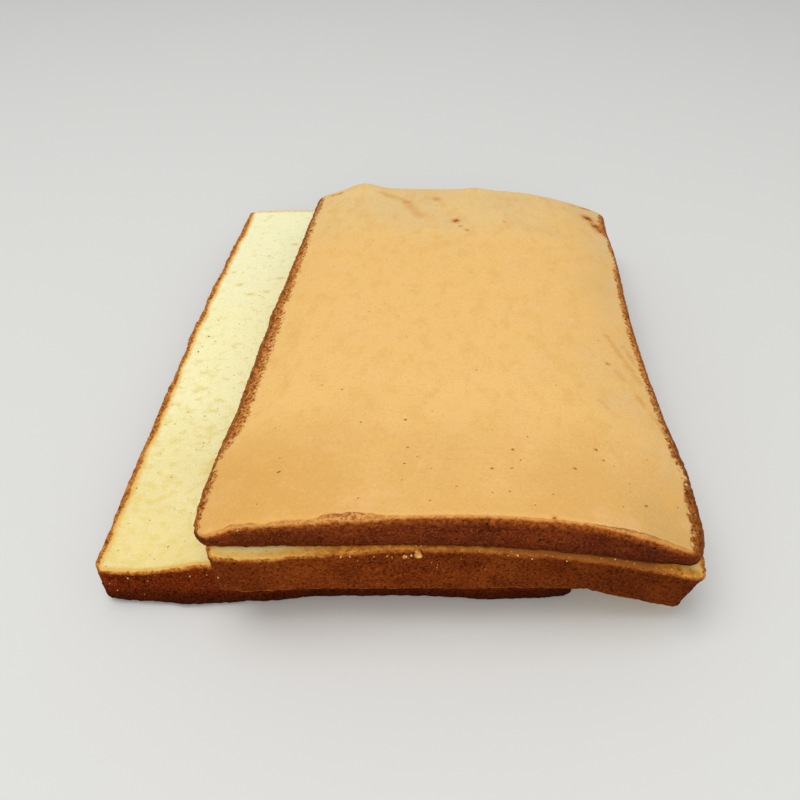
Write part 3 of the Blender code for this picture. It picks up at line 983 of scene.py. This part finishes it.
def top_finish():
    """Caramel skin above, reddish brown crust round the sides, pale crumb below."""
    finish = Finish("caramel skin and crust")
    side, band = finish.attribute("side"), finish.attribute("band")
    tear, lip = finish.attribute("tear"), finish.attribute("lip")
    ragged = (finish.clouds(0.0024, 3.0, 0.7) - 0.5) * (0.0010 + 0.0040 * side)
    edge = finish.attribute("rim") + ragged
    within = edge - band
    wobble = (finish.clouds(0.0022, 3.0, 0.7) - 0.5) * STRAY
    mixed = finish.clouds(0.0020, 3.0, 0.7).step(0.35, 0.65)
    # How near the right front corner a point is, for the painted shade there.
    right, front = finish.part_of_place("X").step(0.10, 0.15), finish.part_of_place("Y").step(-0.06, -0.16)
    corner = right * front

    skin, fine, dots = skin_colour(finish)
    skin = marked_skin(finish, skin, wobble)
    crinkled = finish.clouds(0.0020, 3.0, 0.7).step(0.40, 0.58) * (0.25 + tear)
    skin = finish.blend(lip * 0.85, skin, finish.blend(crinkled, LIP_PEACH, LIP_CRINKLE))
    skin = torn_skin(finish, skin, tear, side, corner)
    wall, grain, pits = top_wall(finish, edge, within, side, corner, mixed, wobble)
    colour = finish.blend(within.step(-0.0008, 0.0008), wall, skin)

    specks = (finish.clouds(0.0021, 3.0, 0.6) + tear * 0.08).step(0.60, 0.69)
    torn_pits = specks * tear.step(0.10, 0.55) * side
    colour = finish.blend(torn_pits * 0.85, colour, finish.blend(mixed, PIT_DARK, PIT_PALE))
    below = edge + TOP_THICK
    colour = finish.blend(below.step(-0.0004, -0.0016), colour, CRUMB_BELOW)
    colour = finish.blend(finish.attribute("mark").step(0.05, 0.60) * 0.9, colour, FOLD)
    colour = finish.blend(finish.attribute("hole").step(0.05, 0.6) * 0.8, colour, SKIN_HOLE)
    above = within.step(-0.0004, 0.0010)
    height = above * (fine * 0.20 - dots * 0.6) + (1.0 - above) * (grain - pits) - torn_pits
    finish.set(Base_Color=colour, Roughness=0.68, Normal=finish.bump(height, 0.0006))
    finish.set(Specular_IOR_Level=0.05)
    return finish.material


top = make_layer(
    "top_sponge", (TOP_WIDTH, TOP_LENGTH, TOP_THICK), TOP_PLACE, (top_underside, top_skin),
    (SKIN_EDGE, CUT_EDGE), (*TOP_SWELLS, LEFT_LUMP), (TOP_CRAG, TOP_SEED), top_look, SKIN_HOLES,
    turn=TOP_TURN,
)
dress(top, top_finish(), "top_layer")


# Loose crumbs. Bits of sponge that broke off when the layers were cut and slid: a large golden one
# on the front ledge, pale ones as small as coarse sugar beside it and on the base layer's front,
# and a sprinkle of dust on the cut faces that show.

# Crumbs that show one by one: place, size
CRUMBS = (
    (0.0152, -0.2031, 0.0592, 0.0036),
    (0.0086, -0.2034, 0.0572, 0.0020),
    (0.0118, -0.2040, 0.0580, 0.0013),
    (0.0142, -0.2006, 0.0617, 0.0010),
    (0.0167, -0.2006, 0.0617, 0.0010),
    (-0.0003, -0.2037, 0.0576, 0.0011),
    (0.0021, -0.2037, 0.0568, 0.0010),
    (-0.0067, -0.2041, 0.0582, 0.0010),
    (-0.0184, -0.2050, 0.0595, 0.0012),
    (-0.0228, -0.2052, 0.0599, 0.0010),
    (0.0600, -0.2050, 0.0600, 0.0010),
    (0.0649, -0.2054, 0.0597, 0.0011),
    (0.0720, -0.2055, 0.0581, 0.0010),
    (0.0895, -0.2057, 0.0567, 0.0010),
    (0.1069, -0.2040, 0.0551, 0.0010),
    (0.1142, -0.2035, 0.0536, 0.0012),
    (0.1241, -0.2041, 0.0509, 0.0010),
    (-0.0865, -0.2062, 0.0438, 0.0011),
    (-0.1557, -0.1913, 0.0170, 0.0008),
    (-0.1446, -0.1910, 0.0212, 0.0010),
    (-0.1342, -0.1915, 0.0192, 0.0007),
    (-0.1098, -0.1923, 0.0247, 0.0008),
    (-0.1007, -0.1919, 0.0251, 0.0008),
    (-0.1527, -0.1922, 0.0117, 0.0007),
    (-0.1382, -0.1932, 0.0093, 0.0007),
)
# How much of a crumb is sunk into what it lies on, and how much of its size its lumps take
SUNK, LUMPY = 0.30, 0.75
LARGE_CRUMB = 0.0015
DUST_SIZES = (0.0004, 0.0008)
DUST_ON_LEDGE, LEDGE_ACROSS, LEDGE_ALONG = 50, (-0.080, 0.145), (-0.2054, -0.2032)
DUST_ON_STRIP, STRIP_ACROSS, STRIP_ALONG = 50, (-0.155, -0.095), (-0.184, 0.190)
# Their colours, and the grain on them
PALE_CRUMB, GOLDEN_CRUMB, LOOSE_GRAIN = tint(234, 196, 130), tint(202, 138, 54), tint(190, 132, 60)

surfaces = []
for layer in (base, middle, top):
    surfaces.append(bvhtree.BVHTree.FromObject(layer, bpy.context.evaluated_depsgraph_get()))


def add_crumb(bm, place, normal, size):
    """One lumpy crumb that sits a little sunk where it landed."""
    middle_place = place + normal * size * (0.5 - SUNK)
    finer = 3 if size > LARGE_CRUMB else 1
    made = bmesh.ops.create_icosphere(bm, subdivisions=finer, radius=size / 2)
    for vertex in made["verts"]:
        way = vertex.co / size
        lumps = 1.0 + LUMPY * noise.noise(way * 2.6 + middle_place * 900.0)
        lumps += 0.5 * LUMPY * noise.noise(way * 7.0 + middle_place * 900.0)
        vertex.co = middle_place + vertex.co * lumps


def drop(bm, x, y, size):
    """Lets a crumb fall on the cake from above, and leaves it where it lands."""
    landings = []
    for surface in surfaces:
        place, normal, _, _ = surface.ray_cast((x, y, 0.2), (0.0, 0.0, -1.0))
        if place is not None:
            landings.append((place.z, place, normal))
    _, place, normal = max(landings)
    add_crumb(bm, place, normal, size)


bm = bmesh.new()
for x, y, z, size in CRUMBS:
    nearest = min((surface.find_nearest((x, y, z)) for surface in surfaces), key=lambda hit: hit[3])
    add_crumb(bm, nearest[0], nearest[1], size)

chance = random.Random(11)
for _ in range(DUST_ON_LEDGE):
    drop(bm, chance.uniform(*LEDGE_ACROSS), chance.uniform(*LEDGE_ALONG), chance.uniform(*DUST_SIZES))
for _ in range(DUST_ON_STRIP):
    drop(bm, chance.uniform(*STRIP_ACROSS), chance.uniform(*STRIP_ALONG), chance.uniform(*DUST_SIZES))
mesh = bpy.data.meshes.new("loose_crumbs")
bm.to_mesh(mesh)
bm.free()
mesh.shade_smooth()
crumbs = bpy.data.objects.new("loose_crumbs", mesh)
scene.collection.objects.link(crumbs)

crumb_finish = Finish("loose crumb")
kind = crumb_finish.clouds(0.0060, 2.0).step(0.40, 0.60)
crumb_shade = crumb_finish.blend(kind, PALE_CRUMB, GOLDEN_CRUMB)
crumb_grain = crumb_finish.clouds(0.0006, 2.0).step(0.45, 0.70)
crumb_shade = crumb_finish.blend(crumb_grain * 0.5, crumb_shade, LOOSE_GRAIN)
crumb_finish.set(Base_Color=crumb_shade, Roughness=0.85, Specular_IOR_Level=0.10)
mesh.materials.append(crumb_finish.material)
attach(crumbs, "root")


# Floor, light and camera. A plain pale floor under soft studio light, seen from above the front of
# the cake.

FLOOR_HALF, FLOOR_GREY = 4.0, (0.72, 0.72, 0.70, 1.0)

bm = bmesh.new()
bmesh.ops.create_grid(bm, x_segments=1, y_segments=1, size=FLOOR_HALF)
mesh = bpy.data.meshes.new("floor")
bm.to_mesh(mesh)
bm.free()
floor = bpy.data.objects.new("floor", mesh)
scene.collection.objects.link(floor)
floor_finish = Finish("pale matt floor")
floor_finish.set(Base_Color=FLOOR_GREY, Roughness=0.9)
mesh.materials.append(floor_finish.material)


def soft_light(name, place, size, watts):
    """A square softbox that faces the middle of the floor."""
    lamp = bpy.data.lights.new(name, "AREA")
    lamp.shape = "SQUARE"
    lamp.size = size
    lamp.energy = watts
    made = bpy.data.objects.new(name, lamp)
    made.location = place
    made.rotation_euler = (-Vector(place)).to_track_quat("-Z", "Y").to_euler()
    scene.collection.objects.link(made)


soft_light("key", (-0.45, -0.20, 2.4), 1.8, 30.5)
soft_light("fill", (0.5, -2.6, 1.7), 2.0, 34.0)

WORLD_STRENGTH = 0.42
world = bpy.data.worlds.new("studio")
world.use_nodes = True
world.node_tree.nodes["Background"].inputs["Color"].default_value = (1.0, 1.0, 1.0, 1.0)
world.node_tree.nodes["Background"].inputs["Strength"].default_value = WORLD_STRENGTH
scene.world = world
scene.view_settings.view_transform = "Standard"

PHOTO_PIXELS, SENSOR = 800, 36.0
FOCAL_PIXELS, MIDDLE_PIXEL = 740.64, 474.67
CAMERA_PLACE = Vector((0.04065, -0.42758, 0.36239))
CAMERA_DOWN, CAMERA_ROLL, CAMERA_YAW = 0.72985, 0.00591, -0.0104

lens = bpy.data.cameras.new("camera")
lens.sensor_width = SENSOR
lens.lens = FOCAL_PIXELS / PHOTO_PIXELS * SENSOR
lens.shift_x = 0.5 - MIDDLE_PIXEL / PHOTO_PIXELS
lens.clip_start = 0.01
camera = bpy.data.objects.new("camera", lens)
scene.collection.objects.link(camera)
camera.matrix_world = (
    Matrix.Translation(CAMERA_PLACE)
    @ Matrix.Rotation(CAMERA_YAW, 4, "Z")
    @ Matrix.Rotation(math.pi / 2 - CAMERA_DOWN, 4, "X")
    @ Matrix.Rotation(CAMERA_ROLL, 4, "Z")
)
scene.camera = camera
